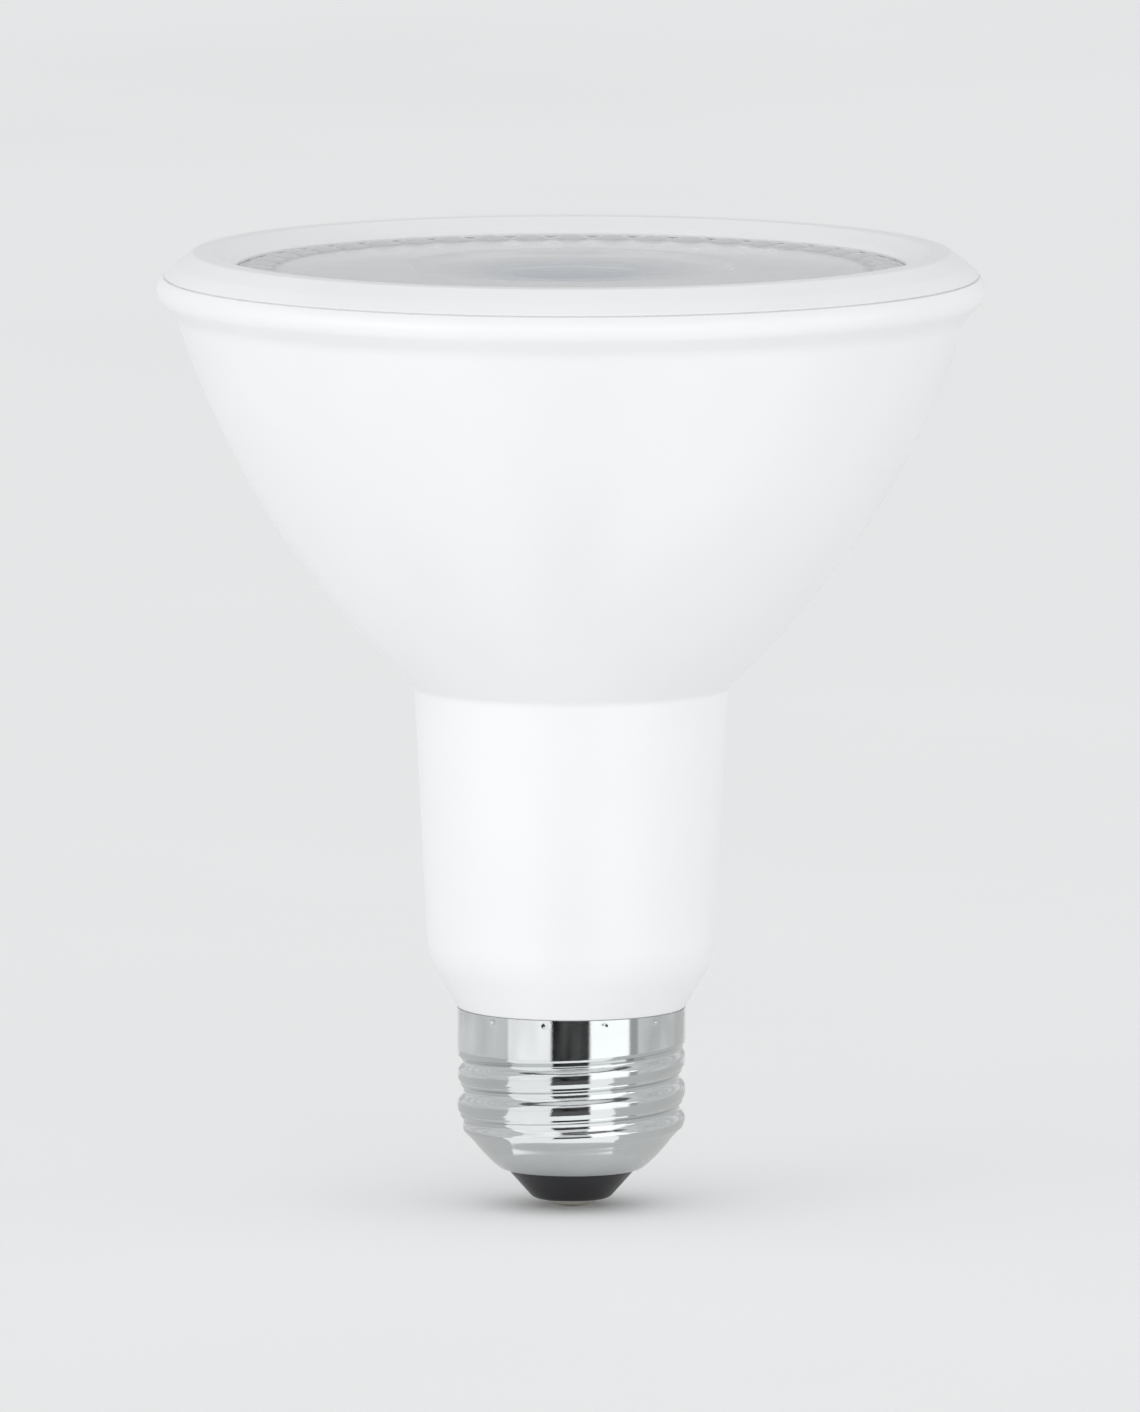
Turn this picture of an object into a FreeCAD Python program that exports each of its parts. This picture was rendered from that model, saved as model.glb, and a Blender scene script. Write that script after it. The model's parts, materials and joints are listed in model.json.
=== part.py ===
"""Long-neck PAR30 LED spotlight lamp with a medium Edison screw base.

The lamp stands on its base with its axis on Z. The origin is the lowest point of the centre
contact, and the light leaves towards +Z. Lengths are in millimetres.
"""

import FreeCAD
import Part
import Sketcher
import math
import os

from FreeCAD import Vector

SIZES = {
    # Screw base
    "contact_drop": 0.8,          # centre contact below the insulator
    "contact_radius": 2.9,
    "contact_crown": 2.0,
    "contact_edge": 0.3,          # height of the contact's straight edge
    "contact_skin": 0.9,          # solder and sheet under the wire's end
    "rivet_radius": 1.5,
    "rivet_wall": 0.3,
    "rivet_head": 2.4,
    "rivet_head_height": 0.5,
    "insulator_nose": 4.4,        # radius of the insulator's lower end
    "insulator_fillet": 1.2,
    "insulator_cover": 0.3,       # how far the insulator hides the shell's mouth
    "insulator_height": 3.5,
    "insulator_head_height": 1.2,
    "insulator_collar": 4.8,
    "insulator_collar_height": 1.6,
    "mouth_radius": 7.2,          # hole of the shell that grips the insulator
    "mouth_flange": 0.9,
    "shell_length": 18.65,
    "shell_wall": 0.3,
    "screw_radius": 13.15,        # skirt of the shell
    "thread_depth": 0.84,
    "crest_relief": 0.1,          # thread crest inside the skirt
    "thread_pitch": 3.629,        # seven turns to the inch
    "ridge_foot": 2.7,            # width of the ridge at the root
    "ridge_crest": 0.9,           # width of the ridge at its crest
    "thread_start": 0.4,          # thread's first flank below the toe's upper end
    "skirt_height": 4.6,          # plain band above the thread
    "skirt_flare": 0.9,
    "toe_height": 4.4,            # drawn-in end below the thread
    "toe_fillet": 4.0,
    "spigot_gap": 0.08,
    "spigot_lift": 0.4,           # spigot's end above the shell's toe
    "spigot_wall": 1.73,
    # Moulded housing
    "shoulder_inset": 0.05,       # housing inside the skirt where they meet
    "shoulder_height": 5.9,
    "shoulder_step": 3.4,
    "shoulder_fillet": 9.0,
    "neck_taper": 1.55,           # how much the neck widens on its way up
    "neck_length": 31.1,
    "neck_wall": 2.4,
    "crease_fillet": 1.6,
    "bowl_height": 42.85,
    "bowl_curve": 97.0,
    "rim_radius": 47.5,           # nose of the flange, the lamp's largest radius
    "flange_step": 2.2,           # flange beyond the bowl under it
    "flange_height": 4.5,
    "nose_radius": 2.0,
    "nose_depth": 1.5,            # nose's centre below the flange's upper face
    "flange_fillet": 0.5,
    "rim_wall": 3.6,              # from the bore that takes the sink and the ring
    "seat_depth": 3.7,
    "seat_ledge": 1.7,            # width of the ledge under the sink's rim
    "rib_step": 0.55,             # inside of the ring rib beyond the neck
    "rib_width": 3.2,
    "rib_foot": 3.9,              # rib's root above the crease
    "ledge_height": 2.0,          # board's ledge above the shell
    "ledge_width": 2.0,
    # Front ring and lens
    "ring_inset": 0.75,           # ring's lower edge inside the nose
    "ring_bevel": 3.35,
    "ring_height": 2.85,
    "ring_crest": 2.3,            # width of the ring's crest
    "ring_wall": 1.9,             # from the bore to the lens's edge
    "lip_cover": 3.4,             # how far the ring's lip reaches over the lens
    "lip_thickness": 0.6,
    "bead_height": 0.3,           # snap bead that holds the ring in its bore
    "bead_drop": 0.9,
    "fit_gap": 0.15,              # between parts that drop into each other
    "lens_thickness": 2.0,
    "lens_foot": 1.0,
    "lens_foot_width": 0.9,
    "lens_rise": 0.5,             # from the lens's edge to its crater
    "crater_radius": 19.2,
    "crater_slope": 2.6,          # width of the crater's sloped wall
    "crater_depth": 0.8,
    "eye_radius": 8.2,            # convex middle of the crater
    "eye_height": 0.4,
    "lenslet_count": 48,
    "lenslet_gap": 0.15,          # lenslets inside the ring's lip
    "lenslet_space": 0.03,        # between neighbouring lenslets
    "lenslet_height": 0.45,
    "lenslet_latitude": 60.0,     # lower end of each lenslet's dome
    # Heat sink, reflector and light source
    "sink_wall": 1.5,
    "sink_floor": 1.6,
    "sink_lift": 11.95,           # sink's floor above the crease
    "sink_screws": 3,
    "head_room": 0.3,             # round the heads of the sink's screws
    "reflector_wall": 1.0,
    "reflector_rim": 1.5,
    "holder_gap": 0.7,            # holder inside the heads of the sink's screws
    "holder_height": 3.0,
    "throat_gap": 1.15,           # round the emitter
    "mouth_flare": 2.2,
    "chip_side": 18.0,
    "chip_thickness": 1.0,
    "emitter_radius": 7.25,
    "emitter_height": 0.6,
    "holder_screw_inset": 3.2,
    "holder_screws": 2,
    "pad_thickness": 0.3,
    "screw_shank": 1.1,
    "screw_head": 1.9,
    "screw_head_height": 1.3,
    "screw_length": 6.0,
    "holder_screw_length": 3.0,
    "screw_gap": 0.2,
    # Driver
    "board_thickness": 1.6,
    "board_offset": 3.0,          # board's middle plane behind the lamp's axis
    "board_gap": 0.18,            # board's corners inside the ledge's bore
    "board_clearance": 4.0,       # board's upper end below the sink
    "rail_wall": 1.2,
    "rail_depth": 1.4,            # how far the rails hold the board's edges
    "rail_start": 0.8,
    "rail_length": 22.0,
    "wire_radius": 0.65,
    "wire_bend": 3.5,
    "wire_gap": 0.1,
    "neutral_place": 4.0,
    "neutral_bend": 2.0,
    "neutral_lift": 3.5,          # end of the wire above the spigot's end
    "neutral_drop": 0.25,         # wire below the spigot's end
    "led_wire_place": 0.8,        # each lead from the lamp's middle plane
    "lead_drop": 9.0,             # leads' start below the sink
    "lead_grip": 2.2,             # leads' ends above the sink's floor
    "grommet_gap": 0.7,           # grommet inside the ring rib
    "grommet_radius": 2.6,
    "grommet_bore": 1.8,
    "grommet_lip": 0.8,
    "grommet_lip_height": 0.6,
    "terminal_lift": 2.5,
    "terminal_width": 12.0,
    "terminal_depth": 4.2,
    "terminal_height": 6.5,
    "terminal_grip": 4.0,         # how far the wires reach in
    "fuse_lift": 3.0,
    "part_gap": 1.5,              # between parts one above the other
    "side_gap": 0.35,             # between parts side by side
    "film_capacitor_across": -6.2,
    "line_choke_across": 5.5,
    "rectifier_lift": 10.0,
    "back_gap": 4.5,              # between the parts on the board's back
    "output_diode_across": -4.0,
    "output_capacitor_across": 5.0,
    "transformer_across": 4.6,
    "transformer_width": 14.0,
    "transformer_depth": 5.0,
    "transformer_height": 11.5,
    "transformer_limb": 2.0,
    "winding_slack": 0.2,
}

# Width, depth and height of the driver's blocks, width and height of its cans
BLOCKS = {
    "film_capacitor": (7.0, 5.0, 8.0),
    "bridge_rectifier": (6.0, 2.4, 5.0),
    "driver_ic": (5.0, 1.6, 4.0),
    "output_diode": (4.6, 2.2, 2.8),
}
CANS = {
    "fuse_resistor": (3.2, 7.0),
    "line_choke": (7.6, 8.0),
    "bulk_capacitor": (8.0, 11.0),
    "output_capacitor": (6.4, 11.0),
}
BLOCK_SIZES = ("width", "depth", "height")
CAN_SIZES = ("width", "height")


class Size:
    """A length that knows both its value and the sheet expression behind it."""

    def __init__(self, text, value):
        self.text = text
        self.value = float(value)

    def __add__(self, other):
        return Size(f"({self.text} + {text_of(other)})", self.value + value_of(other))

    def __sub__(self, other):
        return Size(f"({self.text} - {text_of(other)})", self.value - value_of(other))

    def __mul__(self, other):
        return Size(f"({self.text} * {text_of(other)})", self.value * value_of(other))

    def __truediv__(self, other):
        return Size(f"({self.text} / {text_of(other)})", self.value / value_of(other))

    __radd__ = __add__
    __rmul__ = __mul__


def text_of(item):
    return item.text if isinstance(item, Size) else repr(float(item))


def value_of(item):
    return item.value if isinstance(item, Size) else float(item)


def root(item):
    return Size(f"sqrt({item.text})", math.sqrt(item.value))


def leg(long_side, short_side):
    """Third side of a right triangle with this longest side."""
    return root(long_side * long_side - short_side * short_side)


doc = FreeCAD.newDocument("par_lamp")
sheet = doc.addObject("Spreadsheet::Sheet", "Sizes")


def all_sizes():
    """Every driving dimension, with those of the driver's parts."""
    yield from SIZES.items()
    for table, names in ((BLOCKS, BLOCK_SIZES), (CANS, CAN_SIZES)):
        for part, row in table.items():
            for name, number in zip(names, row):
                yield f"{part}_{name}", number


def fill_sheet():
    """One row for each driving dimension: its name and its value."""
    for row, (name, number) in enumerate(all_sizes(), start=1):
        sheet.set(f"A{row}", name)
        sheet.set(f"B{row}", str(number))
        sheet.setAlias(f"B{row}", name)
    doc.recompute()


class Sheet:
    """Gives each driving dimension as a Size."""

    def __getattr__(self, name):
        return Size(f"Sizes.{name}", sheet.get(name))


fill_sheet()
d = Sheet()
parts = []


def keep(item, label):
    """Names a finished sub-part, which names its file too."""
    item.Label = label
    parts.append(item)
    return item


def bind(item, **sizes):
    """Ties properties of an object to the sheet."""
    for name, size in sizes.items():
        item.setExpression(name.replace("__", "."), text_of(size))


def plane_of(body, role):
    """One of the body's own origin planes."""
    return next(f for f in body.Origin.OriginFeatures if f.Role == role)


def new_body(name):
    return doc.addObject("PartDesign::Body", name)


def new_sketch(body, name, role="XZ_Plane", height=None):
    """An empty sketch on an origin plane of its body, lifted off it by a height."""
    sketch = body.newObject("Sketcher::SketchObject", name)
    sketch.AttachmentSupport = [(plane_of(body, role), "")]
    sketch.MapMode = "FlatFace"
    if height is not None:
        sketch.setExpression("AttachmentOffset.Base.z", text_of(height))
    return sketch


def pin_point(sketch, geometry, position, across, up):
    """Fixes one point of a sketch at a place given by two sizes."""
    for kind, axis, size in (("DistanceX", -2, across), ("DistanceY", -1, up)):
        if abs(value_of(size)) < 1e-9:
            sketch.addConstraint(Sketcher.Constraint("PointOnObject", geometry, position, axis))
            continue
        values = (kind, -1, 1, geometry, position, value_of(size))
        index = sketch.addConstraint(Sketcher.Constraint(*values))
        sketch.setExpression(f"Constraints[{index}]", text_of(size))


def arc_between(a, b, radius, turn):
    """The short arc from a to b that turns left (turn 1) or right (turn -1)."""
    chord = b.sub(a)
    lift = math.sqrt(max(radius * radius - chord.Length ** 2 / 4, 0))
    side = Vector(-chord.y, chord.x, 0).normalize() * lift * turn
    centre = (a + b) * 0.5 + side
    first, last = (a, b) if turn > 0 else (b, a)
    angles = [math.atan2(p.y - centre.y, p.x - centre.x) for p in (first, last)]
    if angles[1] < angles[0]:
        angles[1] += 2 * math.pi
    return Part.ArcOfCircle(Part.Circle(centre, Vector(0, 0, 1), radius), *angles)


def outline(sketch, corners):
    """A closed outline. A corner is (across, up), or (across, up, radius, turn) where the
    run that ends in it is an arc."""
    places = [Vector(value_of(c[0]), value_of(c[1]), 0) for c in corners]
    ends = []
    for index, corner in enumerate(corners):
        before = places[index - 1]
        if len(corner) == 2:
            number = sketch.addGeometry(Part.LineSegment(before, places[index]), False)
            ends.append((number, 1, 2))
            continue
        radius, turn = corner[2], corner[3]
        arc = arc_between(before, places[index], value_of(radius), turn)
        number = sketch.addGeometry(arc, False)
        ends.append((number, 1, 2) if turn > 0 else (number, 2, 1))
        size = sketch.addConstraint(Sketcher.Constraint("Radius", number, value_of(radius)))
        sketch.setExpression(f"Constraints[{size}]", text_of(radius))
    for index, (number, first, last) in enumerate(ends):
        following, its_first, _ = ends[(index + 1) % len(ends)]
        joined = Sketcher.Constraint("Coincident", number, last, following, its_first)
        sketch.addConstraint(joined)
        pin_point(sketch, number, last, corners[index][0], corners[index][1])
    return sketch


def turned(name, corners, body=None, feature="PartDesign::Revolution"):
    """A closed outline in the XZ plane turned about Z."""
    body = body or new_body(name)
    sketch = outline(new_sketch(body, name + "_outline"), corners)
    made = body.newObject(feature, name + "_turn")
    made.Profile = sketch
    made.ReferenceAxis = (sketch, ["V_Axis"])
    made.Angle = 360.0
    doc.recompute()
    return body


def round_off(body, name, radius, height, size):
    """Fillets the circular edge of a body at this radius and height."""
    base = body.Tip
    found = []
    for index, edge in enumerate(base.Shape.Edges, start=1):
        curve = edge.Curve
        if not isinstance(curve, Part.Circle):
            continue
        level = abs(curve.Center.z - value_of(height)) < 1e-3
        if level and abs(curve.Radius - value_of(radius)) < 1e-3:
            found.append(f"Edge{index}")
    fillet = body.newObject("PartDesign::Fillet", name)
    fillet.Base = (base, found)
    fillet.setExpression("Radius", text_of(size))
    body.Tip = fillet
    doc.recompute()
    return fillet


def around(body, feature, name, count):
    """Repeats a feature evenly about Z."""
    pattern = body.newObject("PartDesign::PolarPattern", name)
    pattern.Originals = [feature]
    axis = next(f for f in body.Origin.OriginFeatures if f.Role == "Z_Axis")
    pattern.Axis = (axis, [""])
    pattern.Angle = 360.0
    pattern.setExpression("Occurrences", text_of(count))
    body.Tip = pattern
    doc.recompute()
    return pattern


def disc(body, name, radius, across, up, height, role="XY_Plane"):
    """A sketch of one circle, centred at two sizes on a lifted plane."""
    sketch = new_sketch(body, name, role, height)
    centre = Vector(value_of(across), value_of(up), 0)
    circle = sketch.addGeometry(Part.Circle(centre, Vector(0, 0, 1), value_of(radius)), False)
    pin_point(sketch, circle, 3, across, up)
    size = sketch.addConstraint(Sketcher.Constraint("Radius", circle, value_of(radius)))
    sketch.setExpression(f"Constraints[{size}]", text_of(radius))
    return sketch


def rectangle(body, name, left, right, front, back, height):
    """A sketch of a rectangle on a lifted plane."""
    corners = [(left, front), (right, front), (right, back), (left, back)]
    return outline(new_sketch(body, name, "XY_Plane", height), corners)


def prism(body, name, sketch, length, feature="PartDesign::Pad"):
    """A sketch raised along Z by a length, or cut upward by it."""
    made = body.newObject(feature, name)
    made.Profile = sketch
    made.setExpression("Length", text_of(length))
    made.Reversed = feature == "PartDesign::Pocket"
    doc.recompute()
    return made


def bore(body, name, radius, across, up, height, depth):
    """A round hole cut upward from a height."""
    sketch = disc(body, name + "_circle", radius, across, up, height)
    return prism(body, name, sketch, depth, "PartDesign::Pocket")


def solid(kind, label, places, **sizes):
    """A plain block or cylinder with its corner or centre at three sizes."""
    item = doc.addObject(f"Part::{kind}", label)
    bind(item, **sizes)
    move(item, places)
    return item


def move(item, places):
    for axis, size in zip("xyz", places):
        item.setExpression(f"Placement.Base.{axis}", text_of(size))


def route(points, bends):
    """Straight runs joined by tangent arcs, one arc for each inner point."""
    edges = []
    start = points[0]
    for here, ahead, bend in zip(points[1:-1], points[2:], bends):
        arriving = (here - start).normalize()
        leaving = (ahead - here).normalize()
        turn = arriving.getAngle(leaving)
        reach = bend * math.tan(turn / 2)
        first = here - arriving * reach
        last = here + leaving * reach
        middle = here + (leaving - arriving).normalize() * (bend / math.cos(turn / 2) - bend)
        edges.append(Part.LineSegment(start, first).toShape())
        edges.append(Part.Arc(first, middle, last).toShape())
        start = last
    edges.append(Part.LineSegment(start, points[-1]).toShape())
    return Part.Wire(edges)


def lead(label, places, bends=()):
    """A round wire along a route of sizes."""
    points = [Vector(*(value_of(size) for size in place)) for place in places]
    path = route(points, [value_of(bend) for bend in bends])
    along = points[1] - points[0]
    section = Part.Wire(Part.makeCircle(d.wire_radius.value, points[0], along))
    item = doc.addObject("Part::Feature", label)
    item.Shape = path.makePipeShell([section], True, True)
    item.Placement = FreeCAD.Placement()
    return keep(item, label)


def spot(radius, index, count):
    """Place of one of several features evenly round the axis."""
    turn = 360.0 * index / value_of(count)
    angle = f"({text_of(radius)} * %s(360 deg * {index} / {text_of(count)}))"
    across = Size(angle % "cos", value_of(radius) * math.cos(math.radians(turn)))
    up = Size(angle % "sin", value_of(radius) * math.sin(math.radians(turn)))
    return across, up


def cap_radius(half_width, height):
    """Radius of the arc over a chord."""
    return (half_width * half_width + height * height) / (height * 2)


zero = Size("0", 0)

# Heights that pieces share
insulator_bottom = d.contact_drop
shell_bottom = insulator_bottom + d.insulator_height
toe_top = shell_bottom + d.toe_height
shell_top = shell_bottom + d.shell_length
skirt_bottom = shell_top - d.skirt_height
flare_bottom = skirt_bottom - d.skirt_flare
spigot_bottom = toe_top + d.spigot_lift
board_bottom = shell_top + d.ledge_height
shoulder_top = shell_top + d.shoulder_height
crease = shoulder_top + d.neck_length
bowl_top = crease + d.bowl_height
flange_top = bowl_top + d.flange_height
seat = flange_top - d.seat_depth
rim_top = seat + d.sink_wall
lens_under = rim_top + d.lens_foot
lens_top = lens_under + d.lens_thickness
floor_under = crease + d.sink_lift
floor_top = floor_under + d.sink_floor
chip_bottom = floor_top + d.pad_thickness
chip_top = chip_bottom + d.chip_thickness
holder_top = floor_top + d.holder_height
board_top = floor_under - d.board_clearance
insulator_head_top = shell_bottom + d.shell_wall + d.insulator_head_height
insulator_top = insulator_head_top + d.insulator_collar_height
terminal_bottom = board_bottom + d.terminal_lift

# Radii and places that pieces share
root_radius = d.screw_radius - d.thread_depth
bore_low = root_radius - d.shell_wall
bore_high = d.screw_radius - d.shell_wall
mouth_reach = d.mouth_radius + d.mouth_flange
spigot_low = bore_low - d.spigot_gap
spigot_bore = spigot_low - d.spigot_wall
ledge_radius = spigot_bore + d.ledge_width
shoulder_radius = d.screw_radius - d.shoulder_inset
neck_low = shoulder_radius + d.shoulder_step
neck_high = neck_low + d.neck_taper
rib_inside = neck_high + d.rib_step
rib_middle = rib_inside + d.rib_width / 2
rib_outside = rib_inside + d.rib_width
bowl_radius = d.rim_radius - d.flange_step
seat_radius = d.rim_radius - d.rim_wall
lens_radius = seat_radius - d.ring_wall
lip_radius = lens_radius - d.lip_cover
foot_radius = lens_radius - d.lens_foot_width
sink_opening = foot_radius - d.reflector_rim
holder_radius = rib_middle - d.screw_head - d.holder_gap
holder_throat = d.emitter_radius + d.throat_gap
holder_mouth = holder_throat + d.mouth_flare
holder_screw_place = holder_radius - d.holder_screw_inset
grommet_front = d.grommet_radius + d.grommet_lip + d.grommet_gap - rib_inside
board_front = d.board_offset - d.board_thickness / 2
board_back = d.board_offset + d.board_thickness / 2
board_half_width = leg(ledge_radius - d.board_gap, board_back)
neutral_radius = bore_low - d.wire_radius
bead_middle = flange_top - d.bead_drop
bead_half = d.bead_height + d.fit_gap


def screw_shell():
    """Drawn metal shell with a right-hand thread rolled between its toe and its skirt."""
    body = turned("screw_shell", [
        (d.mouth_radius, shell_bottom),
        (mouth_reach, shell_bottom),
        (root_radius, toe_top),
        (root_radius, flare_bottom),
        (d.screw_radius, skirt_bottom),
        (d.screw_radius, shell_top),
        (d.mouth_radius, shell_top),
    ])
    round_off(body, "toe_round", root_radius, toe_top, d.toe_fillet)
    ridge_bottom = toe_top - d.thread_start
    ridge_top = ridge_bottom + d.ridge_foot
    crest_radius = d.screw_radius - d.crest_relief
    slope = (d.ridge_foot - d.ridge_crest) / 2
    ridge = outline(new_sketch(body, "ridge_outline"), [
        (spigot_bore, ridge_bottom),
        (root_radius, ridge_bottom),
        (crest_radius, ridge_bottom + slope),
        (crest_radius, ridge_top - slope),
        (root_radius, ridge_top),
        (spigot_bore, ridge_top),
    ])
    thread = body.newObject("PartDesign::AdditiveHelix", "thread")
    thread.Profile = ridge
    thread.ReferenceAxis = (ridge, ["V_Axis"])
    thread.Mode = "pitch-height-angle"
    bind(thread, Pitch=d.thread_pitch, Height=skirt_bottom - ridge_bottom)
    doc.recompute()
    turned("shell_inside", [
        (zero, shell_bottom + d.shell_wall),
        (mouth_reach - d.shell_wall, shell_bottom + d.shell_wall),
        (bore_low, toe_top),
        (bore_low, flare_bottom),
        (bore_high, skirt_bottom),
        (bore_high, shell_top),
        (zero, shell_top),
    ], body, "PartDesign::Groove")
    keep(body, "screw_shell")


def base_insulator():
    """Black insulator that grips the shell's mouth and carries the centre contact."""
    head_bottom = shell_bottom + d.shell_wall
    head_radius = mouth_reach - d.shell_wall
    body = turned("base_insulator", [
        (d.rivet_radius, insulator_bottom),
        (d.insulator_nose, insulator_bottom),
        (d.mouth_radius + d.insulator_cover, shell_bottom),
        (d.mouth_radius, shell_bottom),
        (d.mouth_radius, head_bottom),
        (head_radius, head_bottom),
        (head_radius, insulator_head_top),
        (d.insulator_collar, insulator_head_top),
        (d.insulator_collar, insulator_top),
        (d.rivet_radius, insulator_top),
    ])
    round_off(body, "nose_round", d.insulator_nose, insulator_bottom, d.insulator_fillet)
    keep(body, "base_insulator")


def centre_contact():
    """Contact with a hollow stem, riveted over the insulator's upper end."""
    head_top = insulator_top + d.rivet_head_height
    stem_bore = d.rivet_radius - d.rivet_wall
    keep(turned("centre_contact", [
        (zero, zero),
        (d.contact_crown, zero),
        (d.contact_radius, insulator_bottom - d.contact_edge),
        (d.contact_radius, insulator_bottom),
        (d.rivet_radius, insulator_bottom),
        (d.rivet_radius, insulator_top),
        (d.rivet_head, insulator_top),
        (d.rivet_head, head_top),
        (stem_bore, head_top),
        (stem_bore, d.contact_skin),
        (zero, d.contact_skin),
    ]), "centre_contact")


def housing():
    """One moulding: spigot, shoulder, neck, bowl and flange, with its ribs and rails."""
    spigot_high = bore_high - d.spigot_gap
    nose_middle = d.rim_radius - d.nose_radius
    nose_offset = d.nose_radius * math.sqrt(0.5)
    nose_edge = nose_middle + leg(d.nose_radius, d.nose_depth)
    inner_curve = d.bowl_curve - d.neck_wall
    body = turned("housing", [
        (spigot_low, spigot_bottom),
        (spigot_low, flare_bottom),
        (spigot_high, skirt_bottom),
        (spigot_high, shell_top),
        (shoulder_radius, shell_top),
        (neck_low, shoulder_top),
        (neck_high, crease),
        (bowl_radius, bowl_top, d.bowl_curve, 1),
        (nose_middle + nose_offset, flange_top - d.nose_depth - nose_offset),
        (nose_edge, flange_top, d.nose_radius, 1),
        (seat_radius, flange_top),
        (seat_radius, bead_middle + bead_half),
        (seat_radius + bead_half, bead_middle),
        (seat_radius, bead_middle - bead_half),
        (seat_radius, seat),
        (seat_radius - d.seat_ledge, seat),
        (rib_outside, crease + d.rib_foot + d.rib_width, inner_curve, -1),
        (rib_outside, floor_under),
        (rib_inside, floor_under),
        (rib_inside, crease + d.rib_foot),
        (neck_high - d.neck_wall, crease),
        (neck_low - d.neck_wall, shoulder_top),
        (ledge_radius, board_bottom),
        (spigot_bore, board_bottom),
        (spigot_bore, spigot_bottom),
    ])
    round_off(body, "shoulder_round", neck_low, shoulder_top, d.shoulder_fillet)
    round_off(body, "crease_round", neck_high, crease, d.crease_fillet)
    round_off(body, "flange_round", bowl_radius, bowl_top, d.flange_fillet)
    rails(body)
    pilot_depth = d.screw_length - d.sink_floor + d.screw_gap
    pilot = bore(body, "pilot", d.screw_shank, rib_middle, zero, floor_under - pilot_depth, pilot_depth)
    around(body, pilot, "pilots", d.sink_screws)
    notch_depth = d.neutral_lift + d.screw_gap
    inside = neutral_radius - d.neutral_bend
    side = d.wire_radius + d.wire_gap
    notch = rectangle(body, "notch_outline", inside, bore_high, side * -1, side, spigot_bottom)
    prism(body, "notch", notch, notch_depth, "PartDesign::Pocket")
    keep(body, "housing")


def rails(body):
    """Two grooved rails in the neck that hold the driver board by its edges."""
    slot = d.board_thickness / 2 + d.fit_gap
    side = slot + d.rail_wall
    inner = board_half_width - d.rail_depth
    end = board_half_width + d.fit_gap
    reach = neck_low - d.neck_wall / 2
    rail = outline(new_sketch(body, "rail_outline", "XY_Plane", shoulder_top + d.rail_start), [
        (inner, d.board_offset - side),
        (reach, d.board_offset - side),
        (reach, d.board_offset + side),
        (inner, d.board_offset + side),
        (inner, d.board_offset + slot),
        (end, d.board_offset + slot),
        (end, d.board_offset - slot),
        (inner, d.board_offset - slot),
    ])
    pad = prism(body, "rail", rail, d.rail_length)
    mirror = body.newObject("PartDesign::Mirrored", "rails")
    mirror.Originals = [pad]
    mirror.MirrorPlane = (plane_of(body, "YZ_Plane"), [""])
    body.Tip = mirror
    doc.recompute()


def front_ring():
    """Bevelled ring that snaps into the flange and holds the lens under its lip."""
    crest = flange_top + d.ring_height
    edge = d.rim_radius - d.ring_inset
    skirt = seat_radius - d.fit_gap
    inside = lens_radius + d.fit_gap
    keep(turned("front_ring", [
        (lip_radius, lens_top),
        (inside, lens_top),
        (inside, rim_top + d.fit_gap),
        (skirt, rim_top + d.fit_gap),
        (skirt, bead_middle - bead_half),
        (seat_radius + d.bead_height, bead_middle),
        (skirt, bead_middle + bead_half),
        (skirt, flange_top),
        (edge, flange_top),
        (edge - d.ring_bevel, crest),
        (edge - d.ring_bevel - d.ring_crest, crest),
        (lip_radius, lens_top + d.lip_thickness),
    ]), "front_ring")


def lens():
    """Clear lens: a shallow crater with a convex eye, and a border of small lenses."""
    reach = lip_radius - d.lenslet_gap + d.lenslet_space / 2
    pitch_radius = reach * d.lenslet_count / (d.lenslet_count + math.pi)
    width = pitch_radius * (2 * math.pi) / d.lenslet_count - d.lenslet_space
    crater_edge = lens_top + d.lens_rise
    crater_floor = crater_edge - d.crater_depth
    crater_inside = d.crater_radius - d.crater_slope
    body = turned("lens", [
        (zero, crater_floor + d.eye_height),
        (d.eye_radius, crater_floor, cap_radius(d.eye_radius, d.eye_height), -1),
        (crater_inside, crater_floor),
        (d.crater_radius, crater_edge),
        (pitch_radius - width / 2, lens_top),
        (lens_radius, lens_top),
        (lens_radius, rim_top),
        (foot_radius, rim_top),
        (foot_radius, lens_under),
        (d.crater_radius + d.lens_thickness, lens_under),
        (crater_inside + d.lens_thickness, crater_floor - d.lens_thickness),
        (zero, crater_floor - d.lens_thickness),
    ])
    curve = cap_radius(width / 2, d.lenslet_height)
    lenslet = body.newObject("PartDesign::AdditiveSphere", "lenslet")
    lenslet.AttachmentSupport = [(plane_of(body, "XY_Plane"), "")]
    lenslet.MapMode = "FlatFace"
    bind(lenslet, Radius=curve, Angle1=d.lenslet_latitude,
         AttachmentOffset__Base__x=pitch_radius,
         AttachmentOffset__Base__z=lens_top + d.lenslet_height - curve)
    doc.recompute()
    around(body, lenslet, "lenslets", d.lenslet_count)
    keep(body, "lens")


def heat_sink():
    """Pressed metal cup: its rim lies in the housing's bore, its floor on the ring rib."""
    foot = rib_middle + d.screw_head + d.head_room + d.sink_wall
    rim = seat_radius - d.fit_gap
    body = turned("heat_sink", [
        (zero, floor_under),
        (foot, floor_under),
        (sink_opening + d.sink_wall, seat),
        (rim, seat),
        (rim, rim_top),
        (sink_opening, rim_top),
        (foot - d.sink_wall, floor_top),
        (zero, floor_top),
    ])
    clear = d.screw_shank + d.screw_gap
    hole = bore(body, "screw_hole", clear, rib_middle, zero, floor_under, d.sink_floor)
    around(body, hole, "screw_holes", d.sink_screws)
    pilot = bore(body, "holder_pilot", d.screw_shank, holder_screw_place, zero,
                 floor_under, d.sink_floor)
    around(body, pilot, "holder_pilots", d.holder_screws)
    bore(body, "wire_hole", d.grommet_radius, zero, grommet_front, floor_under, d.sink_floor)
    keep(body, "heat_sink")


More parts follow.
